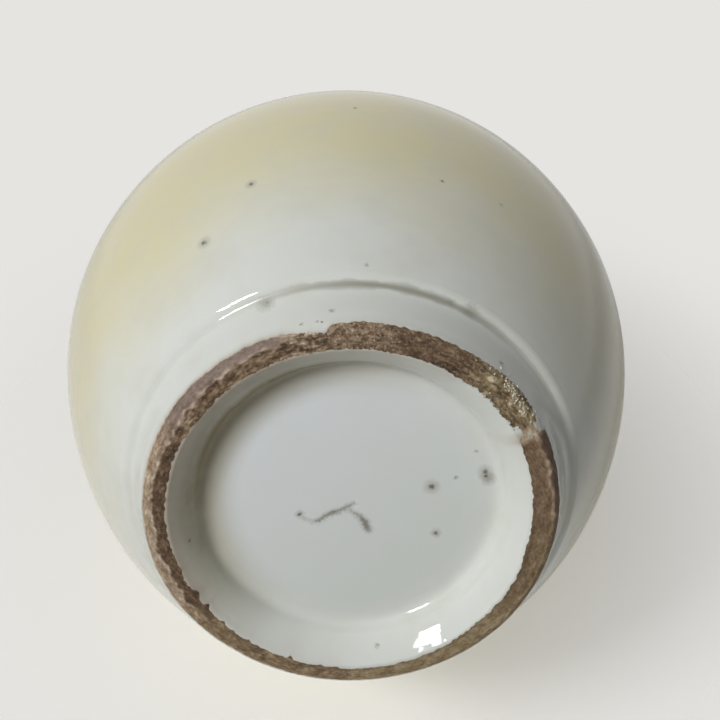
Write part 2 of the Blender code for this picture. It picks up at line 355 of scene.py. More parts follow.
# feldspar porcelain glaze, poured on and fired glossy: cool white where thin, cream where smoke reached it
glazeLook = {
    # painted light: the recess floor is painted lighter and cooler on the side facing the window
    "tints": {"white": "#E0E3DD", "cream": "#DFD8AF", "recess": "#D9DED8", "recessWindowLit": "#E4E8EA",
        "mottle": "#D3D2C4", "dirt": "#7D7A66", "iron": "#544C3D", "rust": "#A58A5C", "halo": "#A9A99E",
        # the last tint is painted shade for the recess crease, with the olive of pooled glaze
        "poolShade": "#908253"},
    "noises": {"drift": (34, 2.0), "cloud": (11, 4.0), "grime": (6, 4.0), "fray": (0.8, 2.0),
        "peel": (5, 2.0)},  # size in millimetres and detail
    # the first side lays painted light on the recess floor towards the window, the second painted shade in its
    # crease
    "sides": {"windowLitSide": (322, -30, 34, 0.0, 1.0), "poolShade": (303, -2, 38, 0.0, 0.86),
        "dirt": (14, 46, 58, 0.10, 0.75)},  # bearing, start and end in millimetres, least and most
    "cream": (20.0, 70.0),  # heights where smoke starts to show and where it is full
    "creamSideways": 0.18,  # it reaches lower at the left and right
    "creamDrift": 34.0,
    "recessEdge": (40, 32),
    "recessTop": (13, 12),
    "poolShadeOut": 1.8,  # middle of the painted crease shade, outwards from the floor's edge
    "poolShadeInwards": -0.9,
    "poolShadeReach": 11.0,
    "mottle": (0.45, 0.8, 0.45),  # noise where it starts and is full, and its share
    "mottleInRecess": -0.8,
    "dirtReach": 3.6,
    "dirtCore": 0.1,
    "frayReach": 1.2,
    "smudgeFray": 1.4,
    "smudge": (1.0, 0.1, 0.62),  # start and end in sizes, and its share
    "speckEdge": {"iron": (0.9, 0.25), "halo": (2.3, 0.8)},  # start and end in speck sizes
    "crackEdge": {"iron": (0.05, -0.6, 0.75), "halo": (0.9, -0.2, 1.0)},  # start and end in millimetres, share
    "markShare": {"halo": 0.55, "iron": 0.85},
    "roughness": 0.045,
    "gloss": (0.3, 0.75, -0.015, 0.03),  # noise from and to, roughness added from and to
    "markRoughness": 0.6,
    "peel": 0.07,
    "bumpDepth": 0.3,
    "ior": 1.5,
}


def glazeLayers(tree):  # place, colour, roughness and height of the glaze at a point
    look = glazeLook
    tint = {name: hexColour(text) for name, text in look["tints"].items()}
    place = addNode(tree, "ShaderNodeTexCoord").outputs["Object"]
    xyz = addNode(tree, "ShaderNodeSeparateXYZ", {0: place}).outputs
    level = addNode(tree, "ShaderNodeVectorMath", {0: place, 1: (1, 1, 0)}, operation="MULTIPLY")
    radius = addNode(tree, "ShaderNodeVectorMath", {0: level}, operation="LENGTH")
    noises, sides = {}, {}
    for name, (size, detail) in look["noises"].items():
        noises[name] = addNode(tree, "ShaderNodeTexNoise",
            {"Vector": place, "Scale": 1 / (size * mm), "Detail": detail})
    for name, (bearing, start, end, least, most) in look["sides"].items():
        towards = addNode(tree, "ShaderNodeVectorMath", {0: level, 1: bearingPoint(bearing, 1 / mm, 0)},
            operation="DOT_PRODUCT")
        sides[name] = addNode(tree, "ShaderNodeMapRange", {"Value": towards, "From Min": start * mm,
            "From Max": end * mm, "To Min": least, "To Max": most})

    driftUp = addNode(tree, "ShaderNodeMath", {0: noises["drift"], 1: look["creamDrift"] * mm,
        2: look["creamDrift"] * mm / -2}, operation="MULTIPLY_ADD")
    sideways = addNode(tree, "ShaderNodeMath", {0: xyz["X"]}, operation="ABSOLUTE")
    creamAcross = addNode(tree, "ShaderNodeMath", {0: sideways, 1: look["creamSideways"], 2: driftUp},
        operation="MULTIPLY_ADD")
    creamAt = addNode(tree, "ShaderNodeMath", {0: xyz["Z"], 1: creamAcross}, operation="ADD")
    start, end = look["cream"]
    cream = addNode(tree, "ShaderNodeMapRange", {"Value": creamAt, "From Min": start * mm,
        "From Max": end * mm}, interpolation_type="SMOOTHSTEP")

    start, end = look["recessEdge"]
    inRecess = addNode(tree, "ShaderNodeMapRange", {"Value": radius, "From Min": start * mm,
        "From Max": end * mm})
    start, end = look["recessTop"]
    lowDown = addNode(tree, "ShaderNodeMapRange", {"Value": xyz["Z"], "From Min": start * mm,
        "From Max": end * mm})
    recess = addNode(tree, "ShaderNodeMath", {0: inRecess, 1: lowDown}, operation="MULTIPLY")
    # painted light: the recess floor turns lighter and cooler towards the window
    floorTint = addNode(tree, "ShaderNodeMix", {0: sides["windowLitSide"], 6: tint["recess"], 7: tint["recessWindowLit"]},
        data_type="RGBA")

    # painted shade with the olive tint of pooled glaze, in the recess crease on the side that the window leaves in
    # shadow
    creaseAway = addNode(tree, "ShaderNodeMath", {0: radius, 1: (pot["recessRadius"] + look["poolShadeOut"]) * mm},
        operation="SUBTRACT")
    creaseIn = addNode(tree, "ShaderNodeMath", {0: creaseAway, 1: look["poolShadeInwards"]}, operation="MULTIPLY")
    creaseGap = addNode(tree, "ShaderNodeMath", {0: creaseAway, 1: creaseIn}, operation="MAXIMUM")
    poolShadeBand = addNode(tree, "ShaderNodeMapRange", {"Value": creaseGap, "From Min": look["poolShadeReach"] * mm,
        "From Max": 0.0}, interpolation_type="SMOOTHSTEP")
    poolShadeHere = addNode(tree, "ShaderNodeMath", {0: poolShadeBand, 1: sides["poolShade"]}, operation="MULTIPLY")
    poolShade = addNode(tree, "ShaderNodeMath", {0: poolShadeHere, 1: lowDown}, operation="MULTIPLY")

    start, end, most = look["mottle"]
    mottle = addNode(tree, "ShaderNodeMapRange", {"Value": noises["cloud"], "From Min": start,
        "From Max": end, "To Max": most})
    mottleOut = addNode(tree, "ShaderNodeMath", {0: recess, 1: look["mottleInRecess"], 2: 1.0},
        operation="MULTIPLY_ADD")
    mottled = addNode(tree, "ShaderNodeMath", {0: mottle, 1: mottleOut}, operation="MULTIPLY")

    # dirt held in the corner above the foot, most of it at the front
    cornerR = addNode(tree, "ShaderNodeMath", {0: radius, 1: pot["groove"][0] * mm}, operation="SUBTRACT")
    cornerZ = addNode(tree, "ShaderNodeMath", {0: xyz["Z"], 1: pot["groove"][1] * mm}, operation="SUBTRACT")
    cornerAway = addNode(tree, "ShaderNodeCombineXYZ", {0: cornerR, 1: cornerZ})
    away = addNode(tree, "ShaderNodeVectorMath", {0: cornerAway}, operation="LENGTH")
    spread = addNode(tree, "ShaderNodeMath", {0: noises["grime"], 1: look["dirtReach"] * mm},
        operation="MULTIPLY")
    line = addNode(tree, "ShaderNodeMapRange", {"Value": away, "From Min": spread,
        "From Max": look["dirtCore"] * mm}, interpolation_type="SMOOTHSTEP")
    dirt = addNode(tree, "ShaderNodeMath", {0: line, 1: sides["dirt"]}, operation="MULTIPLY")
    layers = [(recess, floorTint), (poolShade, tint["poolShade"]), (mottled, tint["mottle"]), (dirt, tint["dirt"])]

    # iron specks with a grey halo, smudges and cracks, their edges broken by a fine noise
    frayMove = addNode(tree, "ShaderNodeMath", {0: noises["fray"], 1: look["frayReach"] * mm,
        2: look["frayReach"] * mm / -2}, operation="MULTIPLY_ADD")
    spots = {}
    for centre, size in speckPlaces():
        away = addNode(tree, "ShaderNodeVectorMath", {0: place, 1: centre}, operation="DISTANCE")
        frayed = addNode(tree, "ShaderNodeMath", {0: away, 1: frayMove}, operation="ADD")
        for name, (start, end) in look["speckEdge"].items():
            spot = addNode(tree, "ShaderNodeMapRange", {"Value": frayed, "From Min": start * size,
                "From Max": end * size})
            if name in spots:
                spot = addNode(tree, "ShaderNodeMath", {0: spots[name], 1: spot}, operation="MAXIMUM")
            spots[name] = spot

    start, end, most = look["smudge"]
    for bearing, reach, height, size, name in glazeMarks["smudges"]:
        away = addNode(tree, "ShaderNodeVectorMath", {0: place, 1: bearingPoint(bearing, reach, height)},
            operation="DISTANCE")
        frayed = addNode(tree, "ShaderNodeMath", {0: frayMove, 1: look["smudgeFray"], 2: away},
            operation="MULTIPLY_ADD")
        smudge = addNode(tree, "ShaderNodeMapRange", {"Value": frayed, "From Min": start * size * mm,
            "From Max": end * size * mm, "To Max": most})
        layers.append((smudge, tint[name]))

    crack = None
    for (startX, startY, startWidth), (endX, endY, endWidth) in crackRuns():
        corner = Vector((startX, startY, pot["recessDepth"])) * mm
        run = Vector((endX - startX, endY - startY, 0)) * mm
        fromStart = addNode(tree, "ShaderNodeVectorMath", {0: place, 1: corner}, operation="SUBTRACT")
        along = addNode(tree, "ShaderNodeVectorMath", {0: fromStart, 1: run / run.length_squared},
            operation="DOT_PRODUCT")
        inRun = addNode(tree, "ShaderNodeClamp", {"Value": along})
        nearest = addNode(tree, "ShaderNodeVectorMath", {0: run, "Scale": inRun}, operation="SCALE")
        gap = addNode(tree, "ShaderNodeVectorMath", {0: fromStart, 1: nearest}, operation="DISTANCE")
        width = addNode(tree, "ShaderNodeMapRange", {"Value": inRun, "To Min": startWidth * mm,
            "To Max": endWidth * mm})
        outOf = addNode(tree, "ShaderNodeMath", {0: gap, 1: width}, operation="SUBTRACT")
        if crack is not None:
            outOf = addNode(tree, "ShaderNodeMath", {0: crack, 1: outOf}, operation="MINIMUM")
        crack = outOf
    crackEdge = addNode(tree, "ShaderNodeMath", {0: crack, 1: frayMove}, operation="ADD")
    for name, (start, end, most) in look["crackEdge"].items():
        edge = addNode(tree, "ShaderNodeMapRange", {"Value": crackEdge, "From Min": start * mm,
            "From Max": end * mm, "To Max": most})
        spots[name] = addNode(tree, "ShaderNodeMath", {0: spots[name], 1: edge}, operation="MAXIMUM")
    for name, share in look["markShare"].items():
        part = addNode(tree, "ShaderNodeMath", {0: spots[name], 1: share}, operation="MULTIPLY")
        layers.append((part, tint[name]))

    colour = addNode(tree, "ShaderNodeMix", {0: cream, 6: tint["white"], 7: tint["cream"]}, data_type="RGBA")
    for share, over in layers:
        colour = addNode(tree, "ShaderNodeMix", {0: share, 6: colour, 7: over}, data_type="RGBA")

    # the gloss is slightly uneven, and the marks hold a matt skin of dirt
    start, end, least, most = look["gloss"]
    wornGloss = addNode(tree, "ShaderNodeMapRange", {"Value": noises["cloud"], "From Min": start,
        "From Max": end, "To Min": look["roughness"] + least, "To Max": look["roughness"] + most})
    matt = addNode(tree, "ShaderNodeMath", {0: spots["iron"], 1: dirt}, operation="MAXIMUM")
    gloss = addNode(tree, "ShaderNodeMix", {0: matt, 2: wornGloss, 3: look["markRoughness"]})
    return place, colour, gloss, noises["peel"]  # it runs a little like orange peel


def porcelainGlaze():
    material, tree, shader = newMaterial("porcelain, glossy feldspar glaze")
    _, colour, gloss, peel = glazeLayers(tree)
    bump = addNode(tree, "ShaderNodeBump", {"Strength": glazeLook["peel"], "Height": peel,
        "Distance": glazeLook["bumpDepth"] * mm})
    setSockets(tree, shader, {"Base Color": colour, "Roughness": gloss, "Normal": bump,
        "IOR": glazeLook["ior"]})
    return material


# bare fired clay of the foot, stained by iron and kiln dirt: rough and gritty, smooth and mauve where trimmed
clayLook = {
    "tones": ((0.0, "#30251B"), (0.26, "#5C4734"), (0.5, "#877057"), (0.74, "#AE9A82"),
        (1.0, "#DED4C1")),  # soot to pale slip
    "hues": {"mauve": ("#84736A", 0.7), "olive": ("#7F7550", 0.4)},  # keep the tone and change the hue
    "pit": ("#33281C", 0.9, 0.34, 0.10, 0.85),  # tint, size, start and end in its noise, share
    "fleck": ("#CFC3AC", 0.7, 0.58, 0.70, 0.8),
    # tan of thinned glaze, also used as painted shade on the recess wall
    "stainAndShade": "#A3917A",
    "grainSize": 0.8,
    "grainShare": (0.45, 1.5),  # on even clay and on flecked clay
    "nibbleSize": 0.9,
    "nibbleEdge": (0.44, 0.56),
    "grit": (0.35, 1.0),
    "roughness": 0.9,
    "trimmed": 0.62,
    "ior": 1.5,
}


def footMaterial():
    look = clayLook
    material, tree, shader = newMaterial("porcelain foot, glaze over bare fired clay")
    place, glazeColour, gloss, peel = glazeLayers(tree)
    marks = {name: addNode(tree, "ShaderNodeAttribute", attribute_name=name).outputs["Fac"]
        for name in ("bareClay", "tone", "mauve", "olive", "fleck", "fray", "stainAndShade")}

    grain = addNode(tree, "ShaderNodeTexNoise", {"Vector": place, "Scale": 1 / (look["grainSize"] * mm),
        "Detail": 5.0, "Roughness": 0.7})
    grainMove = addNode(tree, "ShaderNodeMath", {0: grain, 1: 0.5}, operation="SUBTRACT")
    least, most = look["grainShare"]
    grainPart = addNode(tree, "ShaderNodeMapRange", {"Value": marks["fleck"], "To Min": least, "To Max": most})
    tone = addNode(tree, "ShaderNodeMath", {0: grainMove, 1: grainPart, 2: marks["tone"]},
        operation="MULTIPLY_ADD")
    ramp = addNode(tree, "ShaderNodeValToRGB", {0: tone})
    stops = ramp.color_ramp.elements
    for level, _ in look["tones"][1:-1]:
        stops.new(level)
    for stop, (level, text) in zip(stops, look["tones"]):
        stop.position, stop.color = level, hexColour(text)
    clay = ramp.outputs[0]
    for name, (text, share) in look["hues"].items():
        part = addNode(tree, "ShaderNodeMath", {0: marks[name], 1: share}, operation="MULTIPLY")
        clay = addNode(tree, "ShaderNodeMix", {0: part, 6: clay, 7: hexColour(text)},
            data_type="RGBA", blend_type="COLOR")
    pits = addNode(tree, "ShaderNodeTexVoronoi", {"Vector": place, "Scale": 1 / (look["pit"][1] * mm)})
    pale = addNode(tree, "ShaderNodeTexNoise", {"Vector": place, "Scale": 1 / (look["fleck"][1] * mm),
        "Detail": 2.0})
    for name, pattern in (("pit", pits.outputs["Distance"]), ("fleck", pale)):
        text, _, start, end, most = look[name]
        here = addNode(tree, "ShaderNodeMapRange", {"Value": pattern, "From Min": start, "From Max": end,
            "To Max": most})
        part = addNode(tree, "ShaderNodeMath", {0: here, 1: marks["fleck"]}, operation="MULTIPLY")
        clay = addNode(tree, "ShaderNodeMix", {0: part, 6: clay, 7: hexColour(text)}, data_type="RGBA")

    # the glaze thins to a tan stain before it stops in a nibbled edge; on the recess side the stain is also
    # painted shade
    nibble = addNode(tree, "ShaderNodeTexNoise", {"Vector": place, "Scale": 1 / (look["nibbleSize"] * mm),
        "Detail": 4.0, "Roughness": 0.65})
    nibbleMove = addNode(tree, "ShaderNodeMath", {0: nibble, 1: 0.5}, operation="SUBTRACT")
    edge = addNode(tree, "ShaderNodeMath", {0: nibbleMove, 1: marks["fray"], 2: marks["bareClay"]},
        operation="MULTIPLY_ADD")
    start, end = look["nibbleEdge"]
    bare = addNode(tree, "ShaderNodeMapRange", {"Value": edge, "From Min": start, "From Max": end})
    thinned = addNode(tree, "ShaderNodeMix", {0: marks["stainAndShade"], 6: glazeColour, 7: hexColour(look["stainAndShade"])},
        data_type="RGBA")
    colour = addNode(tree, "ShaderNodeMix", {0: bare, 6: thinned, 7: clay}, data_type="RGBA")
    smoother = addNode(tree, "ShaderNodeMapRange", {"Value": marks["mauve"], "To Min": look["roughness"],
        "To Max": look["trimmed"]})
    rough = addNode(tree, "ShaderNodeMix", {0: bare, 2: gloss, 3: smoother})
    height = addNode(tree, "ShaderNodeMix", {0: bare, 2: peel, 3: grain})
    least, most = look["grit"]
    gritty = addNode(tree, "ShaderNodeMapRange", {"Value": marks["fleck"], "To Min": least, "To Max": most})
    strength = addNode(tree, "ShaderNodeMix", {0: bare, 2: glazeLook["peel"], 3: gritty})
    bump = addNode(tree, "ShaderNodeBump", {"Strength": strength, "Distance": glazeLook["bumpDepth"] * mm,
        "Height": height})
    setSockets(tree, shader, {"Base Color": colour, "Roughness": rough, "Normal": bump, "IOR": look["ior"]})
    return material


wheelTree = turnOnWheel()
body = turnPiece("glazedBody", bodyOutline(), False, 232, porcelainGlaze())


def pressCracks(piece):  # sinks the firing cracks into the recess floor
    mesh = piece.data
    place = readLayer(mesh.vertices, "co", 3) / mm
    gap = np.full(len(place), 1e3)
    for start, end in crackRuns():
        start, run = np.array(start[:2]), np.subtract(end, start)[:2]
        t = np.clip(((place[:, :2] - start) @ run) / (run @ run), 0, 1)
        gap = np.minimum(gap, np.linalg.norm(place[:, :2] - start - t[:, None] * run, axis=1))
    onFloor = (place[:, 2] < pot["recessDepth"] + 1) & (gap < 5 * glazeMarks["crackWidth"])
    sink = glazeMarks["crackDepth"] * np.exp(-(gap / glazeMarks["crackWidth"]) ** 2)
    place[onFloor, 2] += sink[onFloor]
    mesh.vertices.foreach_set("co", (place * mm).astype(np.float32).ravel())
    mesh.update()


pressCracks(body)


# lines round the foot as bearing and millimetres outwards from the contact face's inner edge
foot = {
    "inner": ((0, 0.0), (40, 0.0), (60, 0.2), (63, 1.0), (67, -0.3), (100, -0.8), (120, 0.4), (135, 0.0),
        (150, 0.6), (168, 1.0), (186, 0.9), (200, 0.5), (240, 0.1), (262, 0.3), (280, 0.4), (300, 0.4),
        (308, -0.2), (314, -0.1), (330, 0.3), (360, 0.0)),
    "outer": ((0, 7.1), (38, 7.2), (50, 8.6), (59, 8.4), (62, 6.2), (64.5, 5.4), (66, 8.3), (70, 8.1), (74, 7.5),
        (95, 7.4), (150, 6.6), (250, 6.2), (290, 6.6), (306, 7.3), (338, 7.0), (348, 5.6), (355, 4.9),
        (357, 6.9), (360, 7.1)),
    "split": ((0, 4.2), (66, 4.2), (95, 4.6), (236, 2.6), (268, 3.4), (284, 3.7), (300, 3.0), (318, 3.6),
        (346, 4.3), (360, 4.2)),
    "waves": {"inner": (0.40, 12, 170, 0), "outer": (0.40, 12, 170, 2), "fray": (0.5, 60, 240, 4),
        "split": (0.8, 14, 46, 3), "splitFine": (0.5, 46, 170, 5), "ridgeWidth": (0.35, 20, 60, 6),
        "ridgeGaps": (0.9, 25, 120, 7), "sway": (0.5, 8, 60, 8)},  # height, slowest, fastest, seed's shift
    "stripRadius": 50,
    "teeth": ((187, 0.6), (192, 0.7), (202.5, 0.9), (218, 0.7), (228.5, 0.6), (236.5, 1.0), (242, 1.2), (244, 0.8),
        (253, 0.5)),  # bearing and length
    "toothWidth": 1.1,
    "chips": ((61.5, 0.9, 0.9), (61, 8.3, 1.3), (63.5, 3.6, 0.5), (62.6, 5.6, 0.5), (353, 6.0, 0.8),
        (350.5, 5.4, 0.4)),  # bearing, millimetres outwards, size
    "chipStretch": 1.8,
    "sandHeaps": ((49, 6.9, 1.5), (51.5, 6.2, 1.1), (55.5, 5.6, 1.2), (57, 4.6, 0.9), (52.5, 3.4, 0.8),
        (43, 4.6, 0.8), (59.5, 6.8, 0.8), (45, 1.0, 0.7), (350, 5.0, 0.5)),
    "softEdge": 1.4,
    "ridgeWidth": 0.50,
    "torn": (3.2, 1.7, 3),  # streaks' length, width and seed
    "shred": (1.2, 0.60, 5),
    "sootReach": 0.7,  # soot lies along the inner edge
    "soot": 0.14,
    "darkest": 0.10,
    "sandPale": 0.45,
    "glazeRoll": 0.14,
    "bareDrop": 0.10,  # bare clay lies this much under the glaze
    "coarse": (1.7, 1),  # bumps' size and seed
    "fine": (0.75, 2),
    "relief": 0.24,
    "hiddenEnd": 12,
    "wornArc": (150, 232, 18, 14),  # bearings of the worn side and how softly it starts and ends
    "worn": 0.8,
    "stainAndShadeReach": (3.0, 0.8),  # the stain reaches further into the recess, where it is painted shade on the wall
    "seed": 11,
}

# arcs round the foot, each up to the next: tone of the inner and outer strip, and how the clay looks there
footArcs = (
    {"from": 13, "soft": 4, "inner": 0.31, "outer": 0.40, "streak": 0.45, "fleck": 0.40, "fray": 0.8,
     "stainAndShade": 0.3},
    {"from": 37, "soft": 3, "inner": 0.47, "outer": 0.56, "streak": 0.55, "fleck": 0.45, "fray": 1.0,
     "olive": 0.9, "loose": 1.0},
    {"from": 62, "soft": 1, "inner": 0.80, "outer": 0.78, "streak": 0.30, "fleck": 0.20, "fray": 0.8,
     "stainAndShade": 0.6},
    {"from": 66, "soft": 1, "inner": 0.42, "outer": 0.27, "streak": 0.30, "fray": 0.3, "ridge": 1.0,
     "mauve": 0.4, "trim": 1.0},
    {"from": 94, "soft": 5, "inner": 0.44, "outer": 0.46, "streak": 0.25, "fray": 0.3, "ridge": 0.3,
     "olive": 0.5, "trim": 1.0},
    {"from": 126, "soft": 6, "inner": 0.60, "outer": 0.56, "streak": 0.30, "fray": 0.4, "olive": 0.8,
     "trim": 0.6},
    {"from": 184, "soft": 4, "inner": 0.48, "outer": 0.50, "streak": 0.40, "fray": 0.6, "olive": 0.5,
     "stainAndShade": 0.15},
    {"from": 236, "soft": 6, "inner": 0.26, "outer": 0.68, "streak": 0.38, "fray": 0.7, "ridge": 0.3,
     "fleck": 0.15, "stainAndShade": 0.8},
    {"from": 301, "soft": 5, "inner": 0.41, "outer": 0.43, "streak": 0.62, "fray": 0.9, "ridge": 1.0,
     "fleck": 0.25, "mauve": 1.0, "stainAndShade": 0.8},
    {"from": 344, "soft": 4, "inner": 0.55, "outer": 0.62, "streak": 0.90, "fray": 1.2, "fleck": 0.70,
     "stainAndShade": 0.4},
    {"from": 356, "soft": 2, "inner": 0.47, "outer": 0.50, "streak": 0.40, "fray": 0.8, "fleck": 0.85,
     "stainAndShade": 0.3},
)


def raggedLine(bearing, slowest, fastest, seed):  # an uneven line that closes on itself
    dice = np.random.default_rng(seed)
    total = np.zeros_like(bearing)
    for beat in range(slowest, fastest):
        total += np.sin(np.radians(bearing * beat) + dice.uniform(0, math.tau)) / math.sqrt(beat)
    return total / np.abs(total).max()


def turnFrom(bearing, middle):  # the shorter way round, in degrees
    return (bearing - middle + 180) % 360 - 180


def arcShare(bearing, start, end, startSoft, endSoft):
    half = ((end - start) % 360) / 2
    away = turnFrom(bearing, start + half)
    return (np.clip((half + away) / (2 * startSoft) + 0.5, 0, 1)
            * np.clip((half - away) / (2 * endSoft) + 0.5, 0, 1))


def noiseAt(places, size, seed):
    shift = Vector((seed * 7.3, seed * 3.1, seed * 5.7))
    return np.array([noise.noise(Vector(place) / size + shift) for place in places])


def streaksAt(bearing, across, long, wide, seed):  # noise drawn out along the strip
    turn, reach = np.radians(bearing), foot["stripRadius"]
    places = np.stack((np.sin(turn) * reach / long, np.cos(turn) * reach / long, across / wide), 1)
    return noiseAt(places, 1.0, seed)


def lineRound(bearing, knots):
    places, values = zip(*knots)
    return np.interp(bearing, places, values, period=360)


def dressFoot(piece):  # bare strip, chips, streaks and relief of the foot, from the arcs above
    mesh = piece.data
    place = readLayer(mesh.vertices, "co", 3).astype(float) / mm
    normal = readLayer(mesh.vertices, "normal", 3)
    running = readLayer(mesh.attributes["running"].data, "value", 1)[:, 0]
    count = len(place)
    bearing = np.degrees(np.arctan2(place[:, 0], -place[:, 1])) % 360
    perDegree = math.radians(foot["stripRadius"])

    points = footOutline()
    steps = runningLength(points)
    across = running - steps[np.argmin(np.abs(points[:, 0] - pot["contactInner"]) + np.abs(points[:, 1]))]

    looks = ("inner", "outer", "streak", "fleck", "fray", "stainAndShade", "ridge", "mauve", "olive", "trim", "loose")
    feel = {name: np.zeros(count) for name in looks}
    for entry, after in zip(footArcs, footArcs[1:] + footArcs[:1]):
        share = arcShare(bearing, entry["from"], after["from"], entry["soft"], after["soft"])
        for name in looks:
            feel[name] += share * entry.get(name, 0)
    wave = {name: height * raggedLine(bearing, slowest, fastest, foot["seed"] + shift)
            for name, (height, slowest, fastest, shift) in foot["waves"].items()}

    innerEdge = lineRound(bearing, foot["inner"]) + wave["inner"]
    for tooth, length in foot["teeth"]:
        innerEdge -= length * np.exp(-((bearing - tooth) / foot["toothWidth"]) ** 2)
    outerEdge = lineRound(bearing, foot["outer"]) + wave["outer"]
    depth = np.minimum(across - innerEdge, outerEdge - across)  # how deep a point lies in the bare strip
    for chip, outwards, size in foot["chips"]:
        aside = turnFrom(bearing, chip) * perDegree / foot["chipStretch"]
        gap = np.hypot(aside, across - outwards + wave["fray"])
        depth = np.minimum(depth, gap - size)
    bare = np.clip(0.5 + depth / (foot["softEdge"] * (1 + feel["loose"])), 0, 1)
    inBand = np.nonzero(depth > -2.0)[0]

    split = lineRound(bearing, foot["split"]) + wave["split"] + wave["splitFine"]
    outerStrip = np.clip((across - split) / 0.5 + 0.5, 0, 1)
    ridgeWidth = foot["ridgeWidth"] + wave["ridgeWidth"]
    ridge = np.exp(-((across - split - 0.3) / ridgeWidth) ** 2) * feel["ridge"]  # pale line between the strips
    ridge *= np.clip(0.7 + wave["ridgeGaps"], 0, 1)
    mauve = feel["mauve"] * outerStrip
    trim = np.clip(feel["trim"] + mauve, 0, 1)

    sway = across + wave["sway"]
    torn, shred = np.zeros(count), np.zeros(count)
    torn[inBand] = streaksAt(bearing[inBand], sway[inBand], *foot["torn"])
    shred[inBand] = streaksAt(bearing[inBand], sway[inBand], *foot["shred"])
    streak = feel["streak"] * (1 - 0.7 * mauve) * (0.55 * torn + 0.55 * shred)
    tone = feel["inner"] * (1 - outerStrip) + feel["outer"] * outerStrip + streak + 0.45 * ridge
    tone -= foot["soot"] * np.exp(-np.clip(across - innerEdge, 0, 9) / foot["sootReach"])
    crowd = np.zeros(count)  # kiln sand lies in heaps on paler clay
    for heap, outwards, size in foot["sandHeaps"]:
        gap = np.hypot(turnFrom(bearing, heap) * perDegree, across - outwards)
        crowd = np.maximum(crowd, np.exp(-(gap / size) ** 2))
    tone = np.maximum(tone, foot["darkest"]) + foot["sandPale"] * crowd
    fleck = np.clip(feel["fleck"] * (1 - 0.8 * mauve), 0, 1)

    roll = np.exp(-((depth + 0.75) / 0.55) ** 2) * foot["glazeRoll"]  # glaze stops in a rounded edge
    roll *= (1 - 0.8 * feel["loose"]) * (1 - 0.8 * feel["stainAndShade"])
    lift = roll - foot["bareDrop"] * bare
    coarse, fine = (noiseAt(place[inBand], *foot[name]) for name in ("coarse", "fine"))
    rough = foot["relief"] * (1 - 0.7 * trim)[inBand]
    bumps = rough * (0.7 * coarse + 0.5 * fine) + 0.2 * ridge[inBand] + 0.5 * streak[inBand]
    lift[inBand] += bare[inBand] * bumps
    lift[across > steps[-1] - foot["hiddenEnd"]] = 0
    place += normal * lift[:, None]
    place[:, 2] = np.where(place[:, 2] < 0, place[:, 2] * 0.35, place[:, 2])  # worn flat where it stands
    worn = foot["worn"] * arcShare(bearing, *foot["wornArc"])
    worn *= np.clip(across / 4, 0, 1) * np.clip((9 - across) / 3, 0, 1)
    place[:, :2] *= (1 - worn / np.hypot(place[:, 0], place[:, 1]))[:, None]
    mesh.vertices.foreach_set("co", (place * mm).astype(np.float32).ravel())

    loose = 0.10 * feel["loose"] * np.exp(-((across - 6.5) / 2.5) ** 2)
    sand = np.where(depth > -1.0 - feel["loose"], crowd + loose, 0)
    # on the recess side the stain reaches further, as painted shade on the shaded recess wall
    reach = np.where(across < split, *foot["stainAndShadeReach"])
    stainAndShade = np.clip(feel["stainAndShade"] * np.exp(np.clip(depth, -9, 0) / reach), 0, 1)
    layers = {"bareClay": bare, "tone": tone, "mauve": mauve, "olive": feel["olive"], "fleck": fleck,
              "fray": feel["fray"], "stainAndShade": stainAndShade, "sand": sand}
    for name, values in layers.items():
        layer = mesh.attributes.new(name, "FLOAT", "POINT")
        layer.data.foreach_set("value", values.astype(np.float32))
    mesh.update()


footRing = turnPiece("footRing", footOutline(), True, 960, footMaterial())
dressFoot(footRing)
print("foot dressed")

# quartz grit fused to the foot in the kiln: pale, dull, each grain its own tone
sandLook = {
    "dark": "#8E7E66",
    "pale": "#E6DECC",
    "speckleSize": 0.4,
    "speckle": 0.6,
    "roughness": (0.9, 0.55),  # of dark and pale grains
    "ior": 1.54,
    "grainSize": 0.85 * mm,
    "grainShape": ((0.45, 0.40, 0.30), (1.25, 1.0, 0.85)),  # smallest and largest, in grain sizes
    "perSquareMetre": 2.0e6,
    "seed": 7,
}


def kilnSandMaterial():
    material, tree, shader = newMaterial("kiln sand, quartz grit")
    tone = addNode(tree, "ShaderNodeAttribute", attribute_name="grainTone").outputs["Fac"]
    place = addNode(tree, "ShaderNodeTexCoord").outputs["Object"]
    speckle = addNode(tree, "ShaderNodeTexNoise", {"Vector": place,
        "Scale": 1 / (sandLook["speckleSize"] * mm)})
    blend = addNode(tree, "ShaderNodeMath", {0: speckle, 1: sandLook["speckle"], 2: tone},
        operation="MULTIPLY_ADD", use_clamp=True)
    colour = addNode(tree, "ShaderNodeMix", {0: blend, 6: hexColour(sandLook["dark"]),
        7: hexColour(sandLook["pale"])}, data_type="RGBA")
    dull, bright = sandLook["roughness"]
    rough = addNode(tree, "ShaderNodeMapRange", {"Value": tone, "To Min": dull, "To Max": bright})
    setSockets(tree, shader, {"Base Color": colour, "Roughness": rough, "IOR": sandLook["ior"]})
    return material


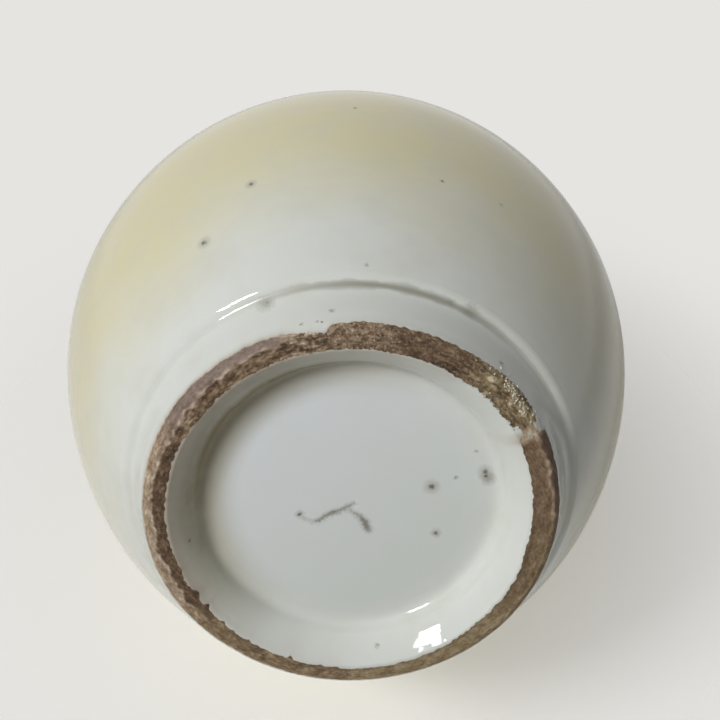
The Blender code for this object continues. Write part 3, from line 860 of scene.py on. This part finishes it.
def scatterSand():  # grains of kiln sand stuck to the surface by its sand share
    tree, given = newTree("scatterSand", {"Foot": "Geometry", "Grain Size": "Float", "Density": "Float",
                                          "Seed": "Int", "Sand": "Material"}, "Grains")
    share = addNode(tree, "GeometryNodeInputNamedAttribute", {"Name": "sand"})
    density = addNode(tree, "ShaderNodeMath", {0: share, 1: given["Density"]}, operation="MULTIPLY")
    points = addNode(tree, "GeometryNodeDistributePointsOnFaces", {"Mesh": given["Foot"], "Density": density,
        "Seed": given["Seed"]})
    ball = addNode(tree, "GeometryNodeMeshIcoSphere", {"Radius": 0.5, "Subdivisions": 1})
    turn = addNode(tree, "FunctionNodeRandomValue", {"Max": (math.tau,) * 3, "Seed": given["Seed"]},
        data_type="FLOAT_VECTOR")
    low, high = sandLook["grainShape"]
    shape = addNode(tree, "FunctionNodeRandomValue", {0: low, 1: high, "Seed": given["Seed"]},
        data_type="FLOAT_VECTOR")
    size = addNode(tree, "ShaderNodeVectorMath", {0: shape, "Scale": given["Grain Size"]}, operation="SCALE")
    grains = addNode(tree, "GeometryNodeInstanceOnPoints", {"Points": points, "Instance": ball,
        "Rotation": turn, "Scale": size})
    tone = addNode(tree, "FunctionNodeRandomValue", {"Seed": given["Seed"]}, data_type="FLOAT")
    toned = addNode(tree, "GeometryNodeStoreNamedAttribute", {"Geometry": grains, "Name": "grainTone",
        "Value": tone}, domain="INSTANCE")
    whole = addNode(tree, "GeometryNodeRealizeInstances", {"Geometry": toned})
    sanded = addNode(tree, "GeometryNodeSetMaterial", {"Geometry": whole, "Material": given["Sand"]})
    addNode(tree, "NodeGroupOutput", {0: sanded})
    return tree


grit = addObject("kilnSand", footRing.data.copy())
runTree(grit, scatterSand(), {"Grain Size": sandLook["grainSize"], "Density": sandLook["perSquareMetre"],
                              "Seed": sandLook["seed"], "Sand": kilnSandMaterial()})
print("sand grains:", len(grit.data.polygons) // 20)

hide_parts("lower_body", "belly_slip", "upper_body", "neck_slip", "neck", "mouth_slip", "mouth_rim",
            "foot_slip")
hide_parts("foot_ring")
for piece, slot in ((body, "white_glaze"), (footRing, "bare_foot"), (grit, "bare_foot")):
    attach(piece, "root")

# pale board that the vase lies on in the main view, and a pale table for upright views
stage = {
    "board": "#EAE9E6",
    "backdrop": "#E6E4E1",
    "boardRadius": 0.62,
    "feather": 0.25,
    "layingReach": (0.24, 0.02),  # the laying board shows near the vase only, or it is a wall in upright views
    "layingShift": 0.05,
    "tableDrop": 0.0005,
    "roughness": 0.95,
    "specular": 0.1,
    "fill": 0.11,
    "boardGlow": 0.16,  # keeps the board pale to the eye without lighting the vase
}


def boardMaterial(name, showsNearOnly):  # matt paint, seen from its upper side only, faded at the edge
    material, tree, shader = newMaterial(name)
    ray = addNode(tree, "ShaderNodeLightPath").outputs
    seen = addNode(tree, "ShaderNodeMath", {0: ray["Is Camera Ray"], 1: ray["Is Glossy Ray"]},
        operation="MAXIMUM")
    glow = addNode(tree, "ShaderNodeMath", {0: seen, 1: stage["boardGlow"]}, operation="MULTIPLY")
    paint = hexColour(stage["board"])
    setSockets(tree, shader, {"Base Color": paint, "Roughness": stage["roughness"], "Emission Color": paint,
        "Specular IOR Level": stage["specular"], "Emission Strength": glow})
    middle = addNode(tree, "ShaderNodeUVMap", uv_map="board")
    away = addNode(tree, "ShaderNodeVectorMath", {0: middle}, operation="LENGTH")
    solid = addNode(tree, "ShaderNodeMapRange", {"Value": away, "From Min": 1.0,
        "From Max": 1 - stage["feather"] / stage["boardRadius"]},
        interpolation_type="SMOOTHSTEP")
    behind = addNode(tree, "ShaderNodeNewGeometry").outputs["Backfacing"]
    front = addNode(tree, "ShaderNodeMath", {0: 1.0, 1: behind}, operation="SUBTRACT")
    shown = addNode(tree, "ShaderNodeMath", {0: solid, 1: front}, operation="MULTIPLY")
    if showsNearOnly:
        farthest, nearest = (reach / stage["boardRadius"] for reach in stage["layingReach"])
        near = addNode(tree, "ShaderNodeMapRange", {"Value": away, "From Min": farthest, "From Max": nearest},
            interpolation_type="SMOOTHSTEP")
        unseen = addNode(tree, "ShaderNodeMath", {0: 1.0, 1: ray["Is Camera Ray"]}, operation="SUBTRACT")
        kept = addNode(tree, "ShaderNodeMath", {0: near, 1: unseen}, operation="MAXIMUM")
        shown = addNode(tree, "ShaderNodeMath", {0: shown, 1: kept}, operation="MULTIPLY")
    clear = addNode(tree, "ShaderNodeBsdfTransparent")
    mixed = addNode(tree, "ShaderNodeMixShader", {0: shown, 1: clear, 2: shader})
    setSockets(tree, tree.nodes["Material Output"], {"Surface": mixed})
    return material


def makeBoard(name, centre, upwards, bounces, material):
    mesh = bpy.data.meshes.new(name)
    turn = upwards.to_track_quat("Z", "Y").to_matrix()
    corners = [(1, 1), (-1, 1), (-1, -1), (1, -1)]
    places = [centre + turn @ Vector((x, y, 0)) * stage["boardRadius"] for x, y in corners]
    mesh.from_pydata(places, [], [(0, 1, 2, 3)])
    layer = mesh.uv_layers.new(name="board")
    for loop, corner in zip(layer.data, corners):
        loop.uv = corner
    mesh.materials.append(material)
    board = addObject(name, mesh)
    board.visible_shadow = False
    board.visible_diffuse = board.visible_glossy = bounces


# the belly and the lip touch the laying board
lean = math.atan2(pot["bellyRadius"] - pot["lipRadius"], pot["totalHeight"] - pot["bellyHeight"])
boardUp = Vector((0, -math.cos(lean), -math.sin(lean)))
touch = Vector((0, 0, pot["bellyHeight"])) * mm - boardUp * (pot["bellyRadius"] * mm)
touch += Vector((0, 0, stage["layingShift"]))
makeBoard("layingBoard", touch, boardUp, True, boardMaterial("matt painted laying board", True))
tableAt = Vector((0, 0, -stage["tableDrop"]))  # it doesn't bounce, so the window shines up into the foot
makeBoard("table", tableAt, Vector((0, 0, 1)), False, boardMaterial("matt painted table", False))

world = bpy.data.worlds.new("pale studio")
bpy.context.scene.world = world
world.use_nodes = True
sky = world.node_tree
ray = addNode(sky, "ShaderNodeLightPath").outputs
seen = ray["Is Camera Ray"]
for kind in ("Is Glossy Ray", "Is Transmission Ray"):
    seen = addNode(sky, "ShaderNodeMath", {0: seen, 1: ray[kind]}, operation="MAXIMUM")
fill = (stage["fill"],) * 3 + (1.0,)
tint = addNode(sky, "ShaderNodeMix", {0: seen, 6: fill, 7: hexColour(stage["backdrop"])}, data_type="RGBA")
setSockets(sky, sky.nodes["Background"], {"Color": tint})

lamps = {
    "window": {"from": (-0.515, -0.545, -0.66), "away": 1.2, "size": (0.22, 0.36), "power": 9.5, "seen": True},
    "overhead": {"from": (0.05, -0.20, 1.0), "away": 1.3, "size": (1.8, 1.8), "power": 17.0, "seen": False},
    "back": {"from": (0.35, 0.85, 0.30), "away": 1.4, "size": (1.2, 1.2), "power": 8.0, "seen": False},
}
aimAt = Vector((0, 0, pot["bellyHeight"] * mm))
for name, lamp in lamps.items():
    light = bpy.data.lights.new(name, "AREA")
    light.shape = "RECTANGLE"
    light.size, light.size_y = lamp["size"]
    light.energy = lamp["power"]
    towards = Vector(lamp["from"]).normalized()
    turn = towards.to_track_quat("Z", "Y").to_matrix().to_4x4()
    lampObject = addObject(name, light)
    lampObject.matrix_world = Matrix.Translation(aimAt + towards * lamp["away"]) @ turn
    lampObject.visible_glossy = lamp["seen"]  # only the window shows in the glaze
print("stage and lamps set")

view = {
    "place": (0, -163.68, -263.34),  # camera below and in front of the foot, as the vase is held
    "axisMeetsFoot": (3.5, -44.24, 0),
    "roll": -3.68,
    "lens": 60.0,
    "sensor": 36.0,
}
camera = bpy.data.cameras.new("camera")
camera.lens = view["lens"]
camera.sensor_width = view["sensor"]
camera.clip_start = 0.01
cameraObject = addObject("camera", camera)
place = Vector(view["place"]) * mm
forward = Vector(view["axisMeetsFoot"]) * mm - place
turn = forward.to_track_quat("-Z", "Y").to_matrix() @ Matrix.Rotation(math.radians(view["roll"]), 3, "Z")
cameraObject.matrix_world = Matrix.Translation(place) @ turn.to_4x4()
bpy.context.scene.camera = cameraObject
bpy.context.scene.view_settings.view_transform = "Standard"

bpy.context.view_layer.update()
print("camera set")
